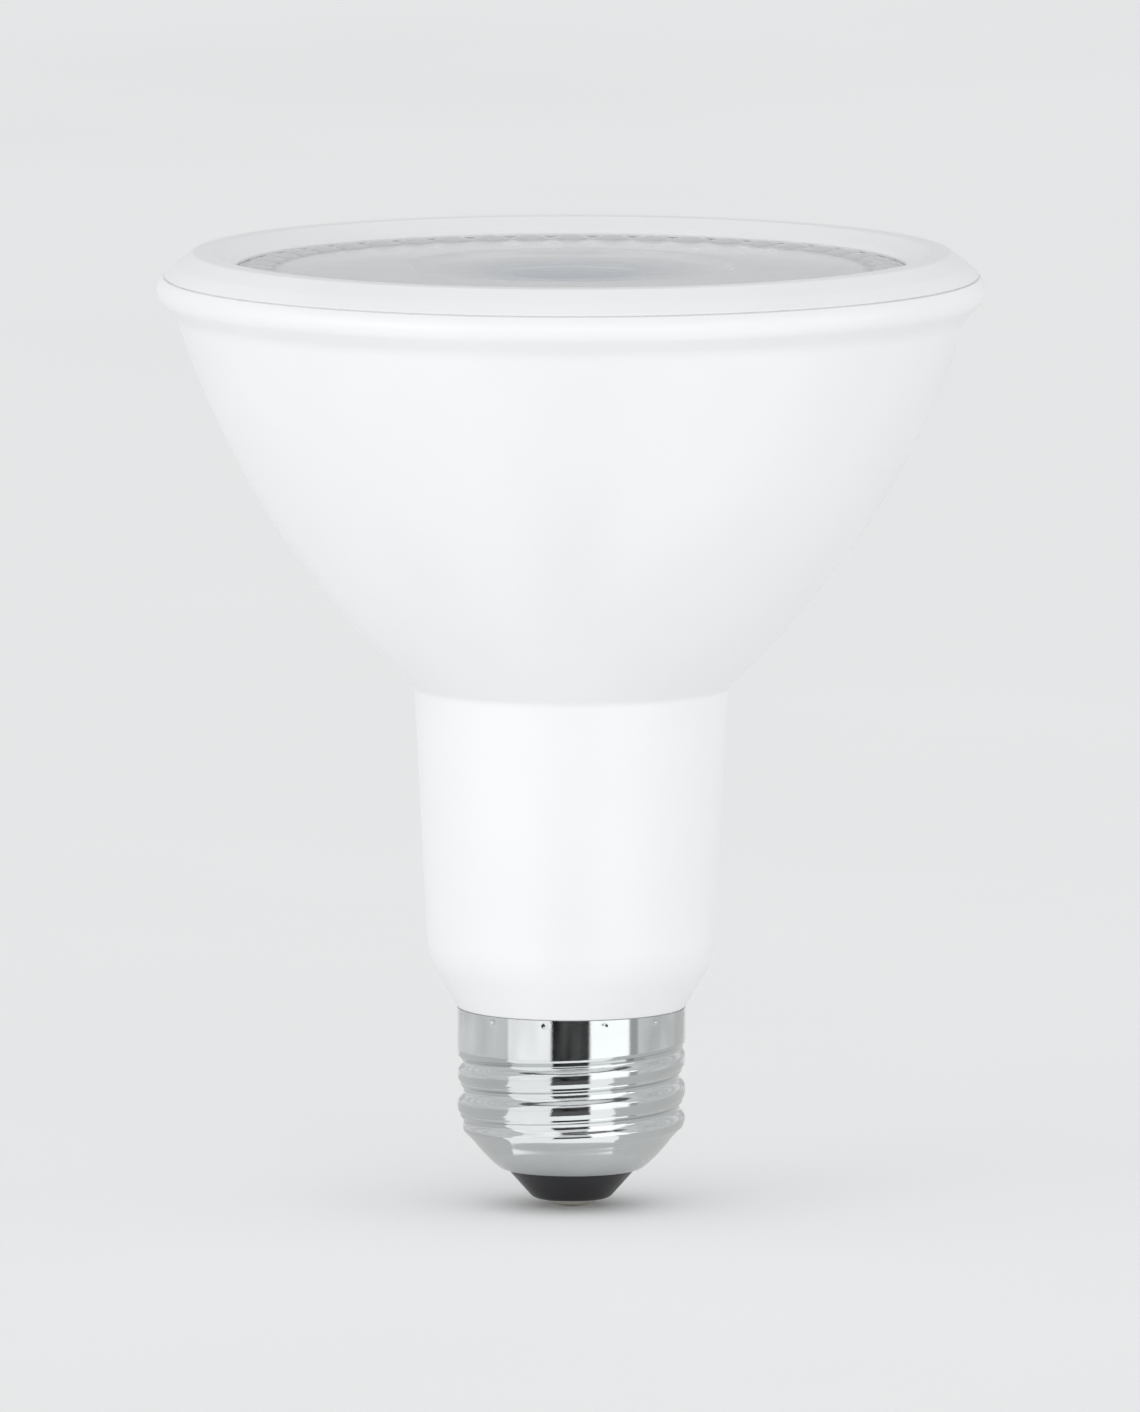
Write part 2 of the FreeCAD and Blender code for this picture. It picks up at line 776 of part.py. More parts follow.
def reflector():
    """White cone from the light source's holder up to the lens."""
    mouth = sink_opening - d.fit_gap
    rim = foot_radius - d.fit_gap
    keep(turned("reflector", [
        (holder_mouth, holder_top),
        (holder_mouth + d.reflector_wall, holder_top),
        (mouth, rim_top),
        (rim, rim_top),
        (rim, lens_under),
        (mouth - d.reflector_wall, lens_under),
    ]), "reflector")


def light_source():
    """Thermal pad, ceramic chip board and its round emitter."""
    corner = d.chip_side / -2
    square = {"Length": d.chip_side, "Width": d.chip_side}
    pad = solid("Box", "thermal_pad", (corner, corner, floor_top), Height=d.pad_thickness, **square)
    keep(pad, "thermal_pad")
    board = solid("Box", "chip_board", (corner, corner, chip_bottom), Height=d.chip_thickness, **square)
    keep(board, "chip_board")
    emitter = solid("Cylinder", "emitter", (zero, zero, chip_top),
                    Radius=d.emitter_radius, Height=d.emitter_height)
    keep(emitter, "emitter")


def chip_holder():
    """Moulded ring that presses the chip board down and takes its two leads."""
    side = d.chip_side / 2 + d.fit_gap
    body = turned("chip_holder", [
        (holder_throat, floor_top),
        (holder_radius, floor_top),
        (holder_radius, holder_top),
        (holder_mouth, holder_top),
        (holder_throat, chip_top + d.emitter_height),
    ])
    recess = rectangle(body, "recess_outline", side * -1, side, side * -1, side, floor_top)
    prism(body, "recess", recess, d.pad_thickness + d.chip_thickness, "PartDesign::Pocket")
    clear = d.screw_gap + d.screw_shank
    hole = bore(body, "hole", clear, holder_screw_place, zero, floor_top, d.holder_height)
    around(body, hole, "holes", d.holder_screws)
    sink = bore(body, "counterbore", d.screw_head + d.screw_gap, holder_screw_place, zero,
                holder_top - d.screw_head_height, d.screw_head_height)
    around(body, sink, "counterbores", d.holder_screws)
    room = d.grommet_radius + d.grommet_lip + d.fit_gap
    bore(body, "grommet_room", room, zero, grommet_front, floor_top, d.grommet_lip_height + d.fit_gap)
    for name, place in (("positive", d.led_wire_place), ("negative", d.led_wire_place * -1)):
        bore(body, f"{name}_hole", d.wire_radius, place, grommet_front, floor_top, d.lead_grip)
    keep(body, "chip_holder")


def screws():
    """Screws of the sink, and the shorter pair of the holder."""
    sets = (
        ("sink_screw", rib_middle, d.sink_screws, floor_top, d.screw_length),
        ("holder_screw", holder_screw_place, d.holder_screws,
         holder_top - d.screw_head_height, d.holder_screw_length),
    )
    for label, place, count, seat_height, length in sets:
        for index in range(int(value_of(count))):
            name = f"{label}_{index + 1}"
            body = turned(name, [
                (zero, length * -1),
                (d.screw_shank, length * -1),
                (d.screw_shank, zero),
                (d.screw_head, zero),
                (d.screw_head, d.screw_head_height),
                (zero, d.screw_head_height),
            ])
            across, up = spot(place, index, count)
            move(body, (across, up, seat_height))
            keep(body, name)


def grommet():
    """Rubber sleeve that lines the sink's wire hole."""
    body = turned("grommet", [
        (d.grommet_bore, d.grommet_lip_height * -1),
        (d.grommet_radius + d.grommet_lip, d.grommet_lip_height * -1),
        (d.grommet_radius + d.grommet_lip, zero),
        (d.grommet_radius, zero),
        (d.grommet_radius, d.sink_floor),
        (d.grommet_radius + d.grommet_lip, d.sink_floor),
        (d.grommet_radius + d.grommet_lip, d.sink_floor + d.grommet_lip_height),
        (d.grommet_bore, d.sink_floor + d.grommet_lip_height),
    ])
    move(body, (zero, grommet_front, floor_under))
    keep(body, "grommet")


def driver_board():
    """Upright board that slides down the rails onto the housing's ledge."""
    keep(solid("Box", "driver_board", (board_half_width * -1, board_front, board_bottom),
               Length=board_half_width * 2, Width=d.board_thickness,
               Height=board_top - board_bottom), "driver_board")


def terminal():
    """Terminal block that grips the two supply wires."""
    side = d.terminal_width / 2
    body = new_body("terminal")
    base = rectangle(body, "terminal_outline", side * -1, side,
                     board_front - d.terminal_depth, board_front, terminal_bottom)
    prism(body, "terminal_block", base, d.terminal_height)
    for name, place in (("line", zero), ("neutral", d.neutral_place)):
        bore(body, f"{name}_hole", d.wire_radius, place, zero, terminal_bottom, d.terminal_grip)
    keep(body, "terminal")


def block(name, across, bottom, behind=False):
    """A rectangular part that stands against the board, and the height of its top."""
    width, depth, height = (getattr(d, f"{name}_{size}") for size in BLOCK_SIZES)
    front = board_back if behind else board_front - depth
    item = solid("Box", name, (across - width / 2, front, bottom),
                 Length=width, Width=depth, Height=height)
    keep(item, name)
    return bottom + height


def can(name, across, bottom, behind=False):
    """A round part that stands against the board, and the height of its top."""
    width, height = (getattr(d, f"{name}_{size}") for size in CAN_SIZES)
    middle = board_back + width / 2 if behind else board_front - width / 2
    keep(solid("Cylinder", name, (across, middle, bottom), Radius=width / 2, Height=height), name)
    return bottom + height


def driver_front():
    """Fuse, capacitors, choke and transformer on the board's front."""
    terminal_top = terminal_bottom + d.terminal_height
    fuse = d.terminal_width / -2 - d.side_gap - d.fuse_resistor_width / 2
    fuse_top = can("fuse_resistor", fuse, board_bottom + d.fuse_lift)
    film_top = block("film_capacitor", d.film_capacitor_across, fuse_top + d.part_gap)
    choke_top = can("line_choke", d.line_choke_across, terminal_top + d.part_gap)
    transformer_left = d.transformer_across - d.transformer_width / 2
    bulk = transformer_left - d.side_gap - d.bulk_capacitor_width / 2
    can("bulk_capacitor", bulk, film_top + d.part_gap)
    transformer(transformer_left, choke_top + d.part_gap)


def driver_back():
    """Rectifier, driver circuit and output parts on the board's back."""
    rectifier_top = block("bridge_rectifier", zero, board_bottom + d.rectifier_lift, True)
    driver_top = block("driver_ic", zero, rectifier_top + d.back_gap, True)
    block("output_diode", d.output_diode_across, driver_top + d.back_gap, True)
    can("output_capacitor", d.output_capacitor_across, driver_top + d.part_gap, True)


def transformer(left, bottom):
    """Ferrite frame round an upright winding that stands against the board."""
    limb = d.transformer_limb
    window_width = d.transformer_width - limb * 2
    window_height = d.transformer_height - limb * 2
    radius = window_width / 2 - d.winding_slack
    middle = board_front - radius
    front = middle - d.transformer_depth / 2
    frame = solid("Box", "frame", (left, front, bottom), Length=d.transformer_width,
                  Width=d.transformer_depth, Height=d.transformer_height)
    window = solid("Box", "window", (left + limb, front, bottom + limb), Length=window_width,
                   Width=d.transformer_depth, Height=window_height)
    core = doc.addObject("Part::Cut", "transformer_core")
    core.Base = frame
    core.Tool = window
    keep(core, "transformer_core")
    winding = solid("Cylinder", "transformer_winding",
                    (d.transformer_across, middle, bottom + limb),
                    Radius=radius, Height=window_height)
    keep(winding, "transformer_winding")


def leads():
    """Supply wires from the base, and the two leads up to the light source."""
    grip = terminal_bottom + d.terminal_grip
    lead("line_wire", [(zero, zero, d.contact_skin), (zero, zero, grip)])
    low = spigot_bottom - d.neutral_drop - d.wire_radius
    lead("neutral_wire", [
        (d.neutral_place, zero, grip),
        (d.neutral_place, zero, low),
        (neutral_radius, zero, low),
        (neutral_radius, zero, spigot_bottom + d.neutral_lift),
    ], (d.neutral_bend, d.neutral_bend))
    start = floor_under - d.lead_drop
    for name, place in (("positive", d.led_wire_place), ("negative", d.led_wire_place * -1)):
        lead(f"led_wire_{name}", [
            (place, board_front, start),
            (place, grommet_front, start),
            (place, grommet_front, floor_top + d.lead_grip),
        ], (d.wire_bend,))


def write_parts():
    """Checks every object, then writes each sub-part to a file of its own."""
    doc.recompute()
    for item in doc.Objects:
        if "Invalid" in item.State or "Error" in item.State:
            raise RuntimeError(f"{item.Name}: {item.State}")
    for item in parts:
        if item.Shape.isNull() or not item.Shape.isValid():
            raise RuntimeError(f"{item.Label} is not a valid solid")
    os.makedirs("parts", exist_ok=True)
    for item in parts:
        item.Shape.exportStep(f"parts/{item.Label}.step")
        print(f"{item.Label}: {item.Shape.Volume:.1f} mm3, {len(item.Shape.Solids)} solid")


screw_shell()
base_insulator()
centre_contact()
housing()
front_ring()
lens()
heat_sink()
reflector()
light_source()
chip_holder()
screws()
grommet()
driver_board()
terminal()
driver_front()
driver_back()
leads()
write_parts()
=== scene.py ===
"""Scene of a long-neck reflector spotlight lamp, standing on its screw base on a pale floor."""

import bpy
import json
import math

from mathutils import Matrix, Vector

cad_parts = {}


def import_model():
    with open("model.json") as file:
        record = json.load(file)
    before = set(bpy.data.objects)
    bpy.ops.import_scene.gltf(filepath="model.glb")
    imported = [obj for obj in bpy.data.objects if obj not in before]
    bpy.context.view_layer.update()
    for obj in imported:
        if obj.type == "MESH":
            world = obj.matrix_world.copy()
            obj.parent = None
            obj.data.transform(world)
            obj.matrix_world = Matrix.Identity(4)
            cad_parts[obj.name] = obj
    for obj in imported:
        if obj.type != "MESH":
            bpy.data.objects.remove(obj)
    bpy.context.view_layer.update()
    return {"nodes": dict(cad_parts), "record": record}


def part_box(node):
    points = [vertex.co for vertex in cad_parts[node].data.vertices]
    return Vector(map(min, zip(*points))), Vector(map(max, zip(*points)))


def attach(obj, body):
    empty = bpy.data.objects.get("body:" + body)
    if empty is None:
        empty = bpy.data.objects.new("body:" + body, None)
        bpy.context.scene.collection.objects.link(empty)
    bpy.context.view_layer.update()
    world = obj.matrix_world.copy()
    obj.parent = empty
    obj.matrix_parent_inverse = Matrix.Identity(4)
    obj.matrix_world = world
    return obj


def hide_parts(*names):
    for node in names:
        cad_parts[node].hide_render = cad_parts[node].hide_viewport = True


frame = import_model()

MM = 0.001
ROUND = 288            # facets round the outer pieces
LEFT, RIGHT = 1, -1    # turns of an arc


def low(node):
    """Lowest height of a node, in millimetres."""
    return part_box(node)[0][2] / MM


def high(node):
    """Highest height of a node, in millimetres."""
    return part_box(node)[1][2] / MM


def reach(node):
    """Largest radius of a node, in millimetres."""
    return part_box(node)[1][0] / MM


# Heights, in millimetres
SHELL_BOTTOM = low("screw_shell")
SHELL_TOP = high("screw_shell")
FLANGE_TOP = high("housing")
CREST = high("front_ring")
LENS_BOTTOM = low("lens")
LENS_FOOT = high("heat_sink")
LENS_TOP = FLANGE_TOP + 0.8         # face of the lens under the ring's lip
LENS_VALLEYS = FLANGE_TOP + 0.75    # between the small lenses of its border
INSULATOR_BOTTOM = low("base_insulator")
INSULATOR_TOP = high("base_insulator")
CONTACT_TOP = high("centre_contact")
SPIGOT_BOTTOM = low("housing")

# Radii and walls, in millimetres
RIM = reach("housing")
RING_EDGE = reach("front_ring")
LENS_EDGE = reach("lens")
LENS_WALL = 0.9        # wall of the lens's foot
SCREW = reach("screw_shell")
SHELL_MOUTH = 7.2      # hole of the shell that grips the insulator
SHELL_WALL = 0.3
STEM = 1.5             # stem of the contact, and its hole in the insulator


# Outlines

def arc(start, end, radius, turn, steps):
    """Points after start, up to end, on the short arc that turns left or right."""
    a = Vector(start)
    b = Vector(end)
    chord = b - a
    lift = math.sqrt(max(radius * radius - chord.length_squared / 4, 0))
    centre = (a + b) / 2 + Vector((-chord.y, chord.x)).normalized() * lift * turn
    first = math.atan2(a.y - centre.y, a.x - centre.x)
    last = math.atan2(b.y - centre.y, b.x - centre.x)
    sweep = (last - first) % (2 * math.pi) if turn > 0 else -((first - last) % (2 * math.pi))
    points = []
    for step in range(1, steps + 1):
        angle = first + sweep * step / steps
        points.append((centre.x + radius * math.cos(angle), centre.y + radius * math.sin(angle)))
    return points


def rounded(corner, before, after, radius, steps=6):
    """Points of a fillet at a corner between two straight runs. It takes less than half of
    the shorter run, and a smaller radius where that asks for it."""
    longest = 0.49
    here = Vector(corner)
    back = Vector(before) - here
    ahead = Vector(after) - here
    half = back.angle(ahead) / 2
    along = min(radius / math.tan(half), back.length * longest, ahead.length * longest)
    radius = along * math.tan(half)
    first = here + back.normalized() * along
    last = here + ahead.normalized() * along
    cross = back.x * ahead.y - back.y * ahead.x
    turn = LEFT if cross < 0 else RIGHT
    return [tuple(first)] + arc(first, last, radius, turn, steps)


def outline(corners):
    """Points of a closed outline. A corner is (r, z) or (r, z, fillet)."""
    points = []
    for index, corner in enumerate(corners):
        before = corners[index - 1][:2]
        after = corners[(index + 1) % len(corners)][:2]
        if len(corner) == 2:
            points.append(corner)
        else:
            points.extend(rounded(corner[:2], before, after, corner[2]))
    return points


def smoothstep(value):
    """Soft step from 0 to 1, for values from 0 to 1."""
    value = min(max(value, 0.0), 1.0)
    return value * value * (3 - 2 * value)


# Mesh helpers

def turns(sides):
    """Angles all round the axis, from +X."""
    return [2 * math.pi * side / sides for side in range(sides)]


def spot(radius, angle, level):
    """Place at a radius and a height in millimetres and an angle round the axis."""
    return (radius * MM * math.cos(angle), radius * MM * math.sin(angle), level * MM)


def circle(radius, level, sides):
    """Places all round the axis at one radius and height."""
    return [spot(radius, angle, level) for angle in turns(sides)]


def skin(rings):
    """Faces from each ring of vertices to the next, and from the last to the first."""
    faces = []
    for index, ring in enumerate(rings):
        following = rings[(index + 1) % len(rings)]
        for side in range(len(ring)):
            beside = (side + 1) % len(ring)
            corners = [ring[side], ring[beside], following[beside], following[side]]
            face = list(dict.fromkeys(corners))
            if len(face) > 2:
                faces.append(face)
    return faces


def mesh_object(name, vertices, faces, sharp_angle=35.0):
    """A smooth-shaded object that keeps its sharp edges."""
    mesh = bpy.data.meshes.new(name)
    mesh.from_pydata(vertices, [], faces)
    mesh.validate()
    mesh.shade_smooth()
    mesh.set_sharp_from_angle(angle=math.radians(sharp_angle))
    piece = bpy.data.objects.new(name, mesh)
    bpy.context.scene.collection.objects.link(piece)
    return piece


def lathe(name, points, sides=ROUND):
    """A closed outline of (r, z) in millimetres, turned about Z. Points at r 0 become poles."""
    vertices = []
    rings = []
    for radius, height in points:
        if radius < 1e-6:
            rings.append([len(vertices)] * sides)
            vertices.append((0, 0, height * MM))
        else:
            rings.append(range(len(vertices), len(vertices) + sides))
            vertices.extend(circle(radius, height, sides))
    return mesh_object(name, vertices, skin(rings))


def stand_for(piece, node, material):
    """The piece takes a node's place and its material."""
    piece.data.materials.append(material)
    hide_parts(node)
    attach(piece, "root")


# Materials

class Nodes:
    """A material's node tree, with short calls for the nodes used here."""

    def __init__(self, name):
        self.material = bpy.data.materials.new(name)
        self.material.use_nodes = True
        self.tree = self.material.node_tree
        self.shader = self.tree.nodes["Principled BSDF"]
        self.place = self.add("ShaderNodeTexCoord").outputs["Object"]

    def add(self, kind, **settings):
        """A new node with these settings."""
        node = self.tree.nodes.new(kind)
        for key, value in settings.items():
            setattr(node, key, value)
        return node

    def link(self, output, socket):
        """Join two nodes."""
        self.tree.links.new(output, socket)

    def noise(self, scale, detail=3.0, stretch=(1, 1, 1)):
        """Noise with this many cells to the metre."""
        mapping = self.add("ShaderNodeMapping")
        mapping.inputs["Scale"].default_value = stretch
        self.link(self.place, mapping.inputs["Vector"])
        noise = self.add("ShaderNodeTexNoise")
        noise.inputs["Scale"].default_value = scale
        noise.inputs["Detail"].default_value = detail
        self.link(mapping.outputs["Vector"], noise.inputs["Vector"])
        return noise.outputs["Fac"]

    def nearness(self, height, across, up):
        """How near a place is to the lamp's axis at this height: 1 there, and 0 from 1/across
        metres to the side or 1/up metres above or below. Up 0 takes all heights alike."""
        mapping = self.add("ShaderNodeMapping")
        mapping.inputs["Scale"].default_value = (across, across, up)
        mapping.inputs["Location"].default_value = (0.0, 0.0, -up * height * MM)
        self.link(self.place, mapping.inputs["Vector"])
        gradient = self.add("ShaderNodeTexGradient", gradient_type="SPHERICAL")
        self.link(mapping.outputs["Vector"], gradient.inputs["Vector"])
        return gradient.outputs["Fac"]

    def height(self):
        """Height over the floor, in metres."""
        split = self.add("ShaderNodeSeparateXYZ")
        self.link(self.place, split.inputs["Vector"])
        return split.outputs["Z"]

    def ramp(self, factor, *stops):
        """Colours at places along a factor."""
        ramp = self.add("ShaderNodeValToRGB")
        elements = ramp.color_ramp.elements
        for element, (position, colour) in zip(elements, stops):
            element.position = position
            element.color = (*colour, 1)
        self.link(factor, ramp.inputs["Fac"])
        return ramp.outputs["Color"]

    def span(self, factor, lowest, highest, start=0.0, end=1.0):
        """A factor between start and end, spread over a range of values."""
        span = self.add("ShaderNodeMapRange")
        span.inputs["From Min"].default_value = start
        span.inputs["From Max"].default_value = end
        span.inputs["To Min"].default_value = lowest
        span.inputs["To Max"].default_value = highest
        self.link(factor, span.inputs["Value"])
        return span.outputs["Result"]

    def product(self, one, other):
        """Two factors multiplied."""
        both = self.add("ShaderNodeMath", operation="MULTIPLY")
        self.link(one, both.inputs[0])
        self.link(other, both.inputs[1])
        return both.outputs["Value"]

    def shaded(self, colour, shade):
        """A colour multiplied by another."""
        mix = self.add("ShaderNodeMix", data_type="RGBA", blend_type="MULTIPLY")
        mix.inputs["Factor"].default_value = 1.0
        self.link(colour, mix.inputs["A"])
        self.link(shade, mix.inputs["B"])
        return mix.outputs["Result"]

    def bump(self, factor, depth, strength, before=None):
        """Relief of this depth in metres, on top of another relief."""
        bump = self.add("ShaderNodeBump")
        bump.inputs["Strength"].default_value = strength
        bump.inputs["Distance"].default_value = depth
        self.link(factor, bump.inputs["Height"])
        if before is not None:
            self.link(before, bump.inputs["Normal"])
        return bump.outputs["Normal"]

    def set(self, **values):
        """Constants on the shader's own sockets."""
        for key, value in values.items():
            self.shader.inputs[key.replace("_", " ")].default_value = value

    def wire(self, output, socket):
        """Join a node to the shader."""
        self.link(output, self.shader.inputs[socket])


def tinted(colour, amount):
    """The slightly darker and lighter neighbours of a colour."""
    darker = tuple(channel * (1 - amount) for channel in colour)
    lighter = tuple(min(channel * (1 + amount), 1.0) for channel in colour)
    return darker, lighter


def moulded(name, colour, rough=(0.32, 0.42), depth=0.00001, tone=0.015):
    """Moulded plastic: faint clouding, uneven sheen and a fine spark-eroded skin."""
    nodes = Nodes(name)
    darker, lighter = tinted(colour, tone)
    clouds = nodes.noise(38.0)
    sheen = nodes.noise(160.0, 4.0)
    grain = nodes.noise(2200.0, 2.0)
    waves = nodes.noise(55.0, 1.0)
    nodes.wire(nodes.ramp(clouds, (0.3, darker), (0.7, lighter)), "Base Color")
    nodes.wire(nodes.span(sheen, *rough), "Roughness")
    nodes.wire(nodes.bump(waves, depth * 4, 0.25, nodes.bump(grain, depth, 0.35)), "Normal")
    nodes.set(IOR=1.5)
    return nodes.material


def metal(name, colour, rough, stretch=(1, 1, 1)):
    """Bare or plated metal with fine drawing lines across the stretched axis."""
    nodes = Nodes(name)
    darker, lighter = tinted(colour, 0.05)
    clouds = nodes.noise(70.0)
    lines = nodes.noise(900.0, 3.0, stretch)
    nodes.wire(nodes.ramp(clouds, (0.35, darker), (0.65, lighter)), "Base Color")
    nodes.wire(nodes.span(lines, *rough), "Roughness")
    nodes.wire(nodes.bump(lines, 0.000004, 0.5), "Normal")
    nodes.set(Metallic=1.0)
    return nodes.material


def glassy(name, colour, middle, valley_shade, rough):
    """Clear moulded lens, slightly grey in its depth. Its colour carries painted shade: the middle of
    its upper face is painted darker, and so are the valleys between the small lenses of its border."""
    white = (1, 1, 1)
    black = (0, 0, 0)
    # Reach of the painted shade in the middle of the crater
    crater_scale = 52.0        # reaches 19 mm to the side
    crater_flatness = 300.0    # and 3 mm up and down
    # Reach of the painted shade in the valleys of the border, and how high over them it goes
    border_scale = 25.0        # reaches 40 mm to the side
    border_start = 0.15        # its share at the border's inner edge
    border_full = 0.17
    valley_shade_depth = 0.3
    nodes = Nodes(name)
    crater = nodes.nearness(LENS_VALLEYS, crater_scale, crater_flatness)
    # Painted shade: the colour darkens towards the middle of the crater
    middle_shaded_colour = nodes.ramp(crater, (0.15, colour), (0.6, middle))
    inside = nodes.nearness(LENS_VALLEYS, border_scale, 0.0)
    border = nodes.ramp(inside, (border_start, white), (border_full, black))
    # Painted shade: the colour darkens low between the small lenses of the border, where shade falls
    valley_shade_mask = nodes.span(
        nodes.height(), 1.0, 0.0, LENS_VALLEYS * MM, (LENS_VALLEYS + valley_shade_depth) * MM)
    shade = nodes.ramp(nodes.product(border, valley_shade_mask), (0.0, white), (1.0, valley_shade))
    nodes.wire(nodes.shaded(middle_shaded_colour, shade), "Base Color")
    nodes.wire(nodes.span(nodes.noise(120.0, 3.0), *rough), "Roughness")
    nodes.wire(nodes.bump(nodes.noise(90.0, 1.0), 0.00004, 0.3), "Normal")
    nodes.set(IOR=1.49, Transmission_Weight=0.4)
    return nodes.material


# Pieces of the lamp

def housing(material):
    """Moulded housing: flange with a rounded nose, bowl, crease, neck, shoulder and spigot."""
    bowl_radius = 45.3
    bowl_top = FLANGE_TOP - 4.5
    bowl_curve = 97.0
    bowl_fillet = 4.0              # from the bowl to the nose
    crease_radius = 18.05
    crease = bowl_top - 42.85
    crease_fillet = 1.6
    neck_low = 16.5
    shoulder_top = crease - 31.1
    shoulder_fillet = 9.0
    shoulder_low = 13.1
    foot_height = 0.1              # lower edge of the shoulder, over the shell
    foot_width = 0.15
    foot_fillet = 0.2
    nose = 2.0
    nose_drop = 1.5                # middle of the nose under the flange's face
    nose_middle = (RIM - nose, FLANGE_TOP - nose_drop)
    nose_diagonal = nose * math.sqrt(0.5)
    nose_under = (nose_middle[0] + nose_diagonal, nose_middle[1] - nose_diagonal)
    nose_edge = (nose_middle[0] + math.sqrt(nose ** 2 - nose_drop ** 2), FLANGE_TOP)
    flange_land = 0.25
    seat_radius = 43.9
    seat = FLANGE_TOP - 3.7
    seat_width = 1.7
    wall = 2.4
    rib_inside = 18.6
    rib_outside = 21.8
    rib_top = low("heat_sink")
    rib_foot = crease + 3.9
    bowl_floor = rib_foot + 3.2    # where the bowl's inner face meets the rib
    spigot = SCREW - 1.22
    spigot_top = SHELL_TOP - 5.5
    collar = SCREW - 0.38
    collar_low = SHELL_TOP - 4.6
    ledge = SHELL_TOP + 2.0
    ledge_radius = 12.2
    bore = 10.2

    bowl_low = (crease_radius, crease)
    bowl_high = (bowl_radius, bowl_top)
    neck_foot = (neck_low, shoulder_top)
    foot = (shoulder_low, SHELL_TOP + foot_height)
    foot_inside = (shoulder_low - foot_width, SHELL_TOP)
    bowl = [bowl_low] + arc(bowl_low, bowl_high, bowl_curve, LEFT, 56)
    points = [(spigot, SPIGOT_BOTTOM), (spigot, spigot_top), (collar, collar_low)]
    points += [(collar, SHELL_TOP), foot_inside]
    points += rounded(foot, foot_inside, neck_foot, foot_fillet)
    points += rounded(neck_foot, (shoulder_low, SHELL_TOP), bowl_low, shoulder_fillet, 16)
    points += rounded(bowl_low, neck_foot, bowl[1], crease_fillet, 8)
    points += bowl[2:-2]
    points += rounded(bowl_high, bowl[-3], nose_under, bowl_fillet, 10)
    points += [nose_under] + arc(nose_under, nose_edge, nose, LEFT, 18)
    points += [(nose_edge[0] - flange_land, FLANGE_TOP)]
    points += [(seat_radius, FLANGE_TOP), (seat_radius, seat), (seat_radius - seat_width, seat)]
    points += arc(points[-1], (rib_outside, bowl_floor), bowl_curve - wall, RIGHT, 24)
    points += [(rib_outside, rib_top), (rib_inside, rib_top), (rib_inside, rib_foot)]
    points += [(crease_radius - wall, crease), (neck_low - wall, shoulder_top)]
    points += [(ledge_radius, ledge), (bore, ledge), (bore, SPIGOT_BOTTOM)]
    stand_for(lathe("housing_shell", points), "housing", material)


def front_ring(material):
    """Bevelled ring with a soft crest and a sloped inner wall down to its lip."""
    seam = RING_EDGE - 0.3         # end of the fine dark seam over the flange
    seam_top = FLANGE_TOP + 0.07
    edge = FLANGE_TOP + 0.17
    bevel_radius = 45.35
    bevel_height = 1.45
    crest_outer = 43.4
    crest_inner = 41.1
    slope_foot = 0.45
    slope_height = 0.9
    lip = 38.6
    lip_height = 0.35
    skirt_inner = LENS_EDGE + 0.15
    skirt_outer = 43.75
    bottom = low("front_ring")
    points = outline([
        (lip, LENS_TOP, 0.05),
        (skirt_inner, LENS_TOP),
        (skirt_inner, bottom, 0.2),
        (skirt_outer, bottom, 0.2),
        (skirt_outer, FLANGE_TOP),
        (seam, FLANGE_TOP),
        (seam, seam_top, 0.04),
        (RING_EDGE, edge, 0.1),
        (bevel_radius, FLANGE_TOP + bevel_height, 1.5),
        (crest_outer, CREST, 0.8),
        (crest_inner, CREST, 0.7),
        (lip + slope_foot, LENS_TOP + slope_height, 0.4),
        (lip, LENS_TOP + lip_height, 0.2),
    ])
    stand_for(lathe("front_ring_bevel", points), "front_ring", material)


